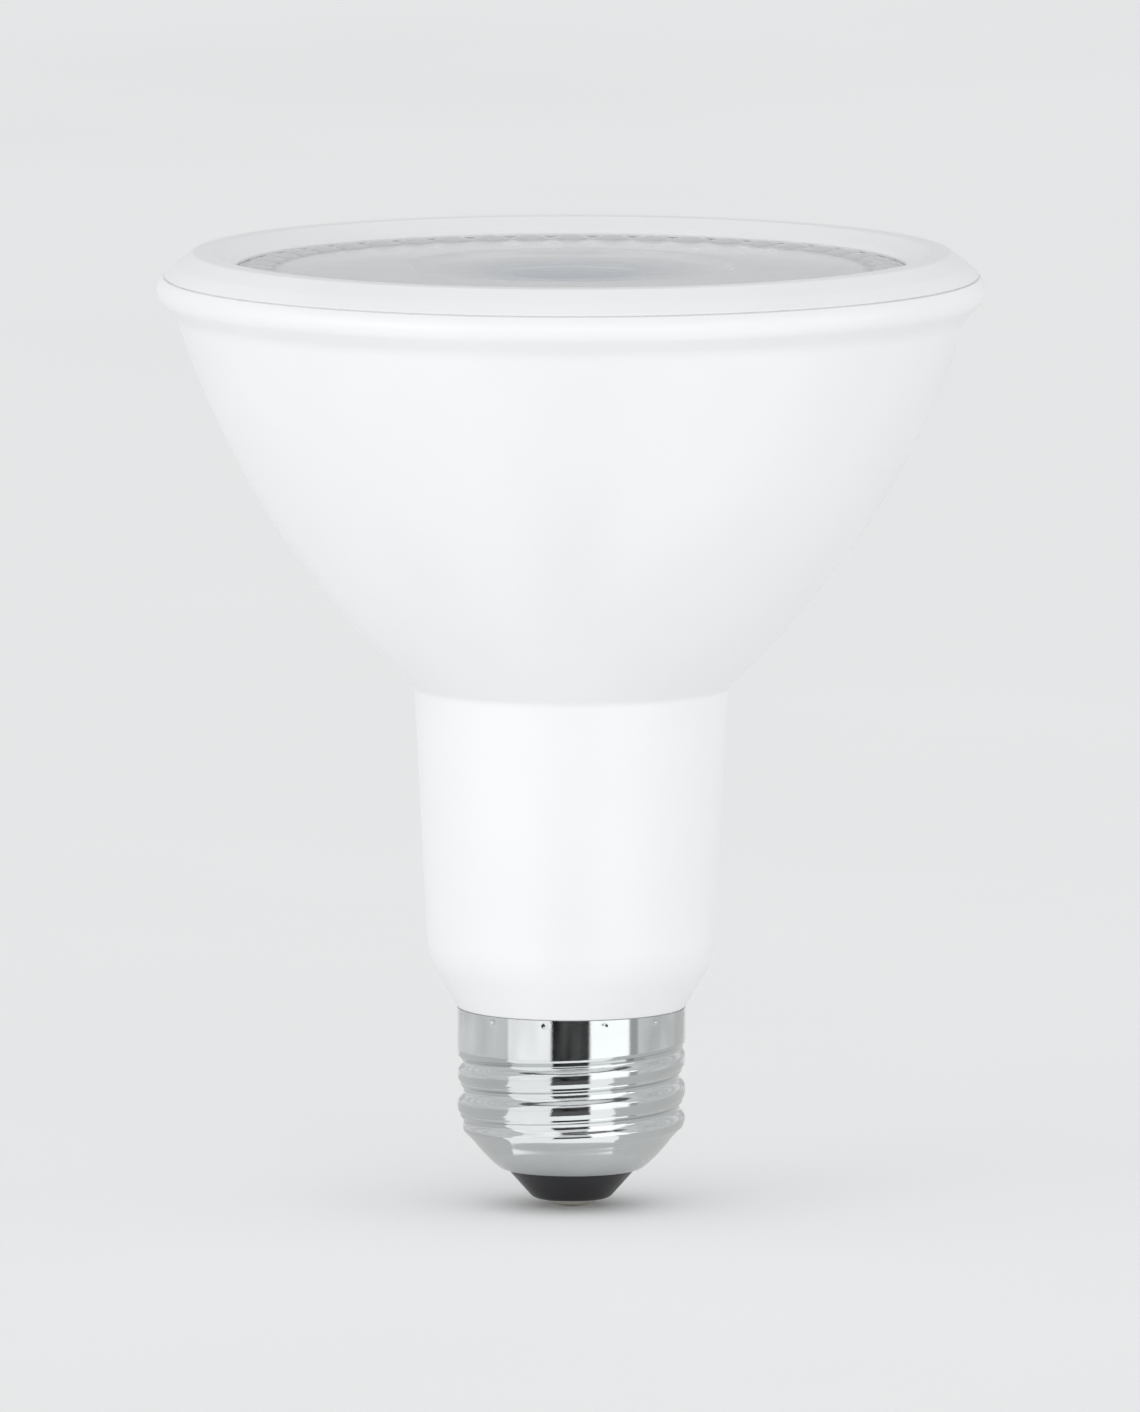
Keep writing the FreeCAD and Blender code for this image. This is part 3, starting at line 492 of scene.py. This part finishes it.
def lens(material):
    """Lens with a border of small lenses, a shallow crater and a convex eye."""
    rise = 0.5                 # of the face from its border to the crater
    crater = 19.2
    crater_floor_radius = 16.6
    crater_depth = 0.8
    crater_floor = LENS_TOP + rise - crater_depth
    eye = 8.2
    eye_height = 0.4
    eye_curve = (eye ** 2 + eye_height ** 2) / (2 * eye_height)
    border = 36.1              # circle of the small lenses' middles
    lenslet_width = 4.7
    lenslet_height = 0.45
    lenslet_curve = ((lenslet_width / 2) ** 2 + lenslet_height ** 2) / (2 * lenslet_height)
    inner = border - lenslet_width / 2
    count = 48
    sides = 8 * count
    thickness = 2.0            # of the plate
    under_step = 2.0           # the crater's under side is this much wider

    def height(radius, angle):
        """Height of the upper face."""
        if radius <= eye:
            return crater_floor + eye_height - eye_curve + math.sqrt(eye_curve ** 2 - radius ** 2)
        if radius <= crater_floor_radius:
            return crater_floor
        if radius <= crater:
            along = (radius - crater_floor_radius) / (crater - crater_floor_radius)
            return crater_floor + smoothstep(along) * crater_depth
        slope = LENS_TOP + rise * max(1 - (radius - crater) / (inner - crater), 0)
        turn = (angle * count / (2 * math.pi) + 0.5) % 1 - 0.5
        across = turn * 2 * math.pi / count * border
        away = math.hypot(across, radius - border)
        if away >= lenslet_width / 2:
            return slope
        dome = LENS_TOP + lenslet_height - lenslet_curve + math.sqrt(lenslet_curve ** 2 - away ** 2)
        return max(slope, dome)

    # Circles of the upper face, closer together where it bends
    radii = [eye * step / 10 for step in range(1, 11)]
    radii += [eye + 0.3, (eye + crater_floor_radius) / 2]
    radii += [crater_floor_radius + (crater - crater_floor_radius) * step / 10 for step in range(11)]
    radii += [crater + 0.4, (crater + inner) / 2, inner - 0.6]
    radii += [inner + lenslet_width * step / 14 for step in range(15)]
    radii += [LENS_EDGE - 1.0, LENS_EDGE]
    foot = LENS_EDGE - LENS_WALL
    under = [(LENS_EDGE, LENS_FOOT), (foot, LENS_FOOT), (foot, LENS_TOP - thickness)]
    under += [(crater + under_step, LENS_TOP - thickness)]
    under += [(crater_floor_radius + under_step, LENS_BOTTOM)]

    vertices = [(0, 0, height(0, 0) * MM)]
    for radius in radii:
        vertices.extend(spot(radius, angle, height(radius, angle)) for angle in turns(sides))
    for radius, level in under:
        vertices.extend(circle(radius, level, sides))
    bottom = len(vertices)
    vertices.append((0, 0, LENS_BOTTOM * MM))
    faces = []
    rings = len(radii) + len(under)
    last = 1 + (rings - 1) * sides
    for side in range(sides):
        beside = (side + 1) % sides
        faces.append((0, 1 + side, 1 + beside))
        for ring in range(rings - 1):
            near = 1 + ring * sides
            far = near + sides
            faces.append((near + side, far + side, far + beside, near + beside))
        faces.append((last + side, bottom, last + beside))
    piece = mesh_object("lens_prismatic", vertices, faces, 30.0)
    stand_for(piece, "lens", material)


def screw_shell(material):
    """Drawn shell: lip under the insulator, rounded toe, rolled thread, skirt with punch marks."""
    flat = SHELL_MOUTH + 0.9
    pitch = 3.629
    depth = 0.84
    relief = 0.07              # thread crest inside the skirt
    relief_height = 0.9
    root = SCREW - depth
    crest_height = SHELL_BOTTOM + 5.85
    groove_depth = 0.68
    skew = 1.67                # puts the groove nearer to the crest under it
    mark_place = 0.42          # rolling mark on the flank, in pitches under the crest
    mark_width = 0.24
    mark_depth = 0.15
    start_height = 2.9         # where the thread rises out of the toe
    start_length = 3.1
    skirt = SHELL_TOP - 4.6
    end_drop = 1.05            # last crest under the skirt
    climb_start = 0.2          # turns past the front where that crest starts to climb
    climb_turns = 0.3
    run_out = 1.2
    toe_top = SHELL_BOTTOM + 4.8
    toe_bulge = 0.85
    toe_inside = (root - SHELL_WALL - 1.9, toe_top - 2.6)
    flat_inside = 0.1
    punches = 12
    punch_radius = 0.42
    punch_depth = 0.15
    punch_drop = 0.62
    punch_turn = math.radians(16.8)
    sides = 432
    toe_rows = 56
    rows = 202

    def meridian(row):
        """Point of the plain outline at one of its rows, from the mouth to the upper edge."""
        if row < toe_rows:
            turn = row / toe_rows * math.pi / 2
            out = math.sin(turn) ** (2 * toe_bulge)
            down = math.cos(turn) ** (2 * toe_bulge)
            return flat + (root - flat) * out, toe_top - (toe_top - SHELL_BOTTOM) * down
        share = (row - toe_rows) / (rows - toe_rows)
        return root, toe_top + (SHELL_TOP - toe_top) * share

    def ridge(angle, level):
        """Height of the rolled thread over the plain outline. Its groove is steeper on its
        lower side, and runs out in the skirt behind the lamp."""
        turn = angle / (2 * math.pi)
        below_crest = ((crest_height - level) / pitch + turn) % 1
        groove = math.sin(math.pi * below_crest ** skew) ** 2
        along = (below_crest - mark_place) / mark_width
        groove -= mark_depth * math.sin(2 * math.pi * along) * math.exp(-4 * along ** 2)
        past_front = (turn - 0.25) % 1 - 0.5
        climb = past_front - smoothstep((past_front - climb_start) / climb_turns)
        end = skirt - end_drop + pitch * climb
        fade_in = smoothstep((level - SHELL_BOTTOM - start_height) / start_length)
        fade_out = 1 - smoothstep((level - end) / run_out)
        crest = depth - relief * (1 - smoothstep((level - skirt + relief_height) / relief_height))
        return fade_in * (crest - groove_depth * groove * fade_out)

    def punch(angle, level):
        """Depth of the punch marks that stake the shell on its spigot."""
        turn = ((angle - punch_turn) * punches / (2 * math.pi) + 0.5) % 1 - 0.5
        across = turn * 2 * math.pi / punches * SCREW
        away = math.hypot(across, level - SHELL_TOP + punch_drop)
        return punch_depth * (1 - smoothstep(away / punch_radius))

    outer = [(SHELL_MOUTH, SHELL_BOTTOM)] + [meridian(row) for row in range(rows + 1)]
    inner = [(SCREW - SHELL_WALL, SHELL_TOP), (SCREW - SHELL_WALL, skirt)]
    inner += [(root - SHELL_WALL, skirt - relief_height), (root - SHELL_WALL, toe_top), toe_inside]
    inner += [(flat - flat_inside, SHELL_BOTTOM + SHELL_WALL)]
    inner += [(SHELL_MOUTH, SHELL_BOTTOM + SHELL_WALL)]
    vertices = []
    for radius, level in outer:
        for angle in turns(sides):
            vertices.append(spot(radius + ridge(angle, level) - punch(angle, level), angle, level))
    for radius, level in inner:
        vertices.extend(circle(radius, level, sides))
    rings = [range(first, first + sides) for first in range(0, len(vertices), sides)]
    piece = mesh_object("screw_shell_rolled", vertices, skin(rings), 50.0)
    stand_for(piece, "screw_shell", material)


def base_insulator(material):
    """Black cone with a rounded end, gripped by the shell's mouth."""
    end = 4.4
    cone = SHELL_MOUTH + 0.3
    head = SHELL_MOUTH + 0.6
    head_bottom = SHELL_BOTTOM + SHELL_WALL
    head_top = SHELL_BOTTOM + 1.5
    collar = 4.8
    points = outline([
        (STEM, INSULATOR_BOTTOM),
        (end, INSULATOR_BOTTOM, 1.2),
        (cone, SHELL_BOTTOM, 0.08),
        (SHELL_MOUTH, SHELL_BOTTOM),
        (SHELL_MOUTH, head_bottom),
        (head, head_bottom),
        (head, head_top, 0.2),
        (collar, head_top),
        (collar, INSULATOR_TOP, 0.2),
        (STEM, INSULATOR_TOP),
    ])
    piece = lathe("base_insulator_cone", points, 160)
    stand_for(piece, "base_insulator", material)


def centre_contact(material):
    """Riveted contact: flat cap with a solder nub, hollow stem, rolled head."""
    cap = reach("centre_contact")
    cap_edge = 0.5
    cap_flat = 2.1
    nub = 1.1
    nub_foot = 1.4
    nub_height = 0.14
    head = 2.4
    bore = 1.2
    bore_bottom = 0.9
    points = outline([
        (0.0, 0.0),
        (nub, 0.0, 0.3),
        (nub_foot, nub_height, 0.15),
        (cap_flat, nub_height, 0.4),
        (cap, cap_edge, 0.4),
        (cap, INSULATOR_BOTTOM, 0.1),
        (STEM, INSULATOR_BOTTOM),
        (STEM, INSULATOR_TOP),
        (head, INSULATOR_TOP, 0.2),
        (head, CONTACT_TOP, 0.25),
        (bore, CONTACT_TOP, 0.2),
        (bore, bore_bottom),
        (0.0, bore_bottom),
    ])
    stand_for(lathe("centre_contact_rivet", points, 96), "centre_contact", material)


def reflector(material):
    """White cone with a rounded foot and a collar inside the lens's foot."""
    rim = reach("reflector")
    bottom = low("reflector")
    top = high("reflector")
    throat = 10.6
    wall = 1.0
    collar_width = 1.5
    play = 0.15
    mouth = LENS_EDGE - LENS_WALL - collar_width - play
    points = outline([
        (throat, bottom, 0.3),
        (throat + wall, bottom),
        (mouth, LENS_FOOT),
        (rim, LENS_FOOT),
        (rim, top, 0.2),
        (mouth - wall, top, 0.3),
    ])
    stand_for(lathe("reflector_cone", points, 192), "reflector", material)


def dress_inner_parts():
    """Materials of the inner pieces that keep their solids."""
    finishes = {
        "sink_metal": metal("pressed_aluminium", (0.78, 0.79, 0.80), (0.28, 0.42), (1, 1, 8)),
        "thermal_grey": moulded("silicone_pad", (0.42, 0.43, 0.45), (0.6, 0.75)),
        "white_ceramic": moulded("white_ceramic", (0.86, 0.86, 0.84), (0.25, 0.35)),
        "phosphor": moulded("phosphor_gel", (0.90, 0.70, 0.16), (0.25, 0.35), tone=0.06),
        "white_holder": moulded("holder_plastic", (0.85, 0.85, 0.84), (0.4, 0.5)),
        "steel_screw": metal("zinc_steel", (0.62, 0.62, 0.61), (0.25, 0.4)),
        "black_rubber": moulded("black_rubber", (0.03, 0.03, 0.03), (0.6, 0.75)),
        "green_board": moulded("board_lacquer", (0.03, 0.16, 0.06), (0.25, 0.4), tone=0.2),
        "green_terminal": moulded("terminal_plastic", (0.05, 0.30, 0.10), (0.35, 0.45)),
        "yellow_film": moulded("film_case", (0.72, 0.50, 0.06), (0.3, 0.4)),
        "black_package": moulded("package_resin", (0.02, 0.02, 0.022), (0.5, 0.65)),
        "blue_resistor": moulded("blue_lacquer", (0.10, 0.28, 0.45), (0.25, 0.35)),
        "choke_sleeve": moulded("shrink_sleeve", (0.02, 0.02, 0.022), (0.3, 0.45)),
        "can_sleeve": moulded("can_sleeve", (0.03, 0.035, 0.07), (0.25, 0.35)),
        "ferrite": moulded("ferrite", (0.05, 0.05, 0.055), (0.5, 0.7), depth=0.00003, tone=0.15),
        "winding_tape": moulded("polyester_tape", (0.80, 0.56, 0.06), (0.15, 0.3), tone=0.08),
        "black_wire": moulded("wire_black", (0.02, 0.02, 0.02), (0.4, 0.5)),
        "white_wire": moulded("wire_white", (0.80, 0.80, 0.78), (0.4, 0.5)),
        "red_wire": moulded("wire_red", (0.50, 0.02, 0.02), (0.4, 0.5)),
    }
    slots = {row["node"]: row["material_slot"] for row in frame["record"]["subparts"]}
    for node, piece in frame["nodes"].items():
        finish = finishes.get(slots[node])
        if finish is None:
            continue
        piece.data.materials.clear()
        piece.data.materials.append(finish)


# Scene round the lamp

def camera():
    """Long lens at the photo's height and distance."""
    distance = 2.5
    elevation = math.radians(5.75)
    seam = FLANGE_TOP * MM
    drop = 0.0496              # middle of the view under the flange's face
    aside = -0.00017
    target = Vector((aside, 0, seam - drop))
    data = bpy.data.cameras.new("camera")
    data.lens = 559.2
    data.sensor_width = 36.0
    data.clip_end = 100
    eye = bpy.data.objects.new("camera", data)
    eye.location = (0, -distance, seam + distance * math.tan(elevation))
    eye.rotation_euler = (target - eye.location).to_track_quat("-Z", "Y").to_euler()
    bpy.context.scene.collection.objects.link(eye)
    bpy.context.scene.camera = eye


def world():
    """Pale surroundings that darken overhead."""
    surroundings = bpy.data.worlds.new("surroundings")
    surroundings.use_nodes = True
    tree = surroundings.node_tree
    place = tree.nodes.new("ShaderNodeTexCoord")
    split = tree.nodes.new("ShaderNodeSeparateXYZ")
    ramp = tree.nodes.new("ShaderNodeValToRGB")
    horizon, overhead = ramp.color_ramp.elements
    horizon.color = (0.995, 1.0, 1.0, 1)
    overhead.color = (0.74, 0.745, 0.75, 1)
    tree.links.new(place.outputs["Generated"], split.inputs["Vector"])
    tree.links.new(split.outputs["Z"], ramp.inputs["Fac"])
    tree.links.new(ramp.outputs["Color"], tree.nodes["Background"].inputs["Color"])
    bpy.context.scene.world = surroundings


def area_light(name, azimuth, elevation, distance, width, height, power):
    """A soft panel that faces the lamp. Azimuth 0 is the camera's side, 90 the right."""
    turn = math.radians(azimuth)
    rise = math.radians(elevation)
    middle = Vector((0, 0, 0.06))
    away = Vector((math.sin(turn) * math.cos(rise), -math.cos(turn) * math.cos(rise), math.sin(rise)))
    data = bpy.data.lights.new(name, "AREA")
    data.shape = "RECTANGLE"
    data.size = width
    data.size_y = height
    data.energy = power
    panel = bpy.data.objects.new(name, data)
    panel.location = middle + away * distance
    panel.rotation_euler = (-away).to_track_quat("-Z", "Y").to_euler()
    panel.visible_camera = False
    bpy.context.scene.collection.objects.link(panel)


def card(name, azimuths, lower, upper, glow, mottle=(9.0, 9.0, 9.0), darkest=0.94):
    """A glowing card, curved round the lamp between two azimuths, that only reflections see.
    Its lower and upper edges are (distance, height) in metres. Mottle is the cells of its
    patches to the metre, and darkest the brightness of the dark ones."""
    first, last = azimuths
    facet = 4                  # degrees
    steps = max(int(abs(last - first) / facet), 2)
    vertices = []
    for distance, level in (lower, upper):
        for step in range(steps + 1):
            turn = math.radians(first + (last - first) * step / steps)
            vertices.append((distance * math.sin(turn), -distance * math.cos(turn), level))
    faces = []
    for step in range(steps):
        faces.append((step, step + 1, step + steps + 2, step + steps + 1))
    piece = mesh_object(name, vertices, faces)
    nodes = Nodes(name)
    dim = (darkest, darkest, darkest)
    bright = (0.98, 0.99, 1.0)
    patches = nodes.noise(1.0, 2.0, mottle)
    nodes.wire(nodes.ramp(patches, (0.42, dim), (0.62, bright)), "Emission Color")
    nodes.set(Base_Color=(0.0, 0.0, 0.0, 1.0), Emission_Strength=glow)
    nodes.set(Roughness=1.0, Specular_IOR_Level=0.0)
    piece.data.materials.append(nodes.material)
    piece.visible_camera = False
    piece.visible_diffuse = False
    piece.visible_transmission = False
    piece.visible_shadow = False


def lights():
    """Three soft panels, and the cards and floor sheets that give the shell its dark, white
    and grey bands."""
    streaks = (20.0, 20.0, 160.0)
    wide_streaks = (20.0, 20.0, 90.0)
    fine_streaks = (70.0, 70.0, 520.0)
    area_light("panel_left", -52, 8, 3.0, 2.4, 0.95, 15)
    area_light("panel_front", 15, 7, 3.0, 2.6, 0.9, 10)
    area_light("panel_right", 75, 6, 3.0, 2.0, 0.8, 5.5)
    card("dark_card", (-18.5, 17), (0.075, 0.0), (0.075, 0.036), 0.12, fine_streaks, 0.06)
    card("white_card_left", (-62, -18.5), (0.08, 0.0), (0.08, 0.13), 1.35, wide_streaks, 0.8)
    card("white_card_right", (17, 56), (0.08, 0.0), (0.08, 0.13), 1.5)
    card("dark_card_right", (56, 66), (0.09, 0.0), (0.09, 0.02), 0.45)
    card("grey_card_left", (-150, -62), (0.1, 0.0), (0.1, 0.13), 0.84, streaks, 0.8)
    card("grey_card_right", (66, 150), (0.1, 0.0), (0.1, 0.13), 0.82, streaks, 0.75)
    card("white_sheet", (-62, 40), (0.012, 0.0003), (0.08, 0.0003), 1.2)
    card("dark_sheet", (-18.5, 17), (0.036, 0.0006), (0.075, 0.0006), 0.12)
    card("grey_sheet", (40, 298), (0.012, 0.0003), (0.1, 0.0003), 0.64)
    card("dark_ring", (0, 360), (0.3, 0.45), (0.22, 0.45), 0.15)
    card("grey_card_back", (150, 210), (0.6, 0.0), (0.6, 0.55), 0.62)


def floor():
    """Pale plain floor."""
    size = 12.0
    level = -0.0001            # just under the contact
    darker = (0.91, 0.912, 0.915)
    lighter = (0.93, 0.932, 0.935)
    corners = [(-size, -size, level), (size, -size, level), (size, size, level), (-size, size, level)]
    piece = mesh_object("floor", corners, [(0, 1, 2, 3)])
    nodes = Nodes("floor_paper")
    nodes.wire(nodes.ramp(nodes.noise(6.0), (0.3, darker), (0.7, lighter)), "Base Color")
    nodes.wire(nodes.span(nodes.noise(40.0), 0.7, 0.85), "Roughness")
    nodes.set(Specular_IOR_Level=0.0)
    piece.data.materials.append(nodes.material)


bpy.context.scene.view_settings.view_transform = "Standard"
camera()
world()
lights()
floor()
housing(moulded("white_housing", (0.885, 0.888, 0.897), (0.34, 0.42)))
front_ring(moulded("white_ring", (0.85, 0.853, 0.864), (0.34, 0.42)))
# The lens's second and third colours are painted shade: its darker middle and its darker valleys
lens(glassy(
    "clear_prismatic", (0.91, 0.915, 0.93), (0.61, 0.66, 0.73), (0.79, 0.8, 0.82), (0.12, 0.2)))
screw_shell(metal("bright_nickel", (0.66, 0.68, 0.68), (0.05, 0.1), (1, 1, 30)))
base_insulator(moulded("black_resin", (0.012, 0.012, 0.014), (0.25, 0.35)))
centre_contact(metal("tinned_brass", (0.72, 0.70, 0.64), (0.25, 0.4)))
reflector(moulded("reflector_white", (0.88, 0.88, 0.88), (0.2, 0.3)))
dress_inner_parts()
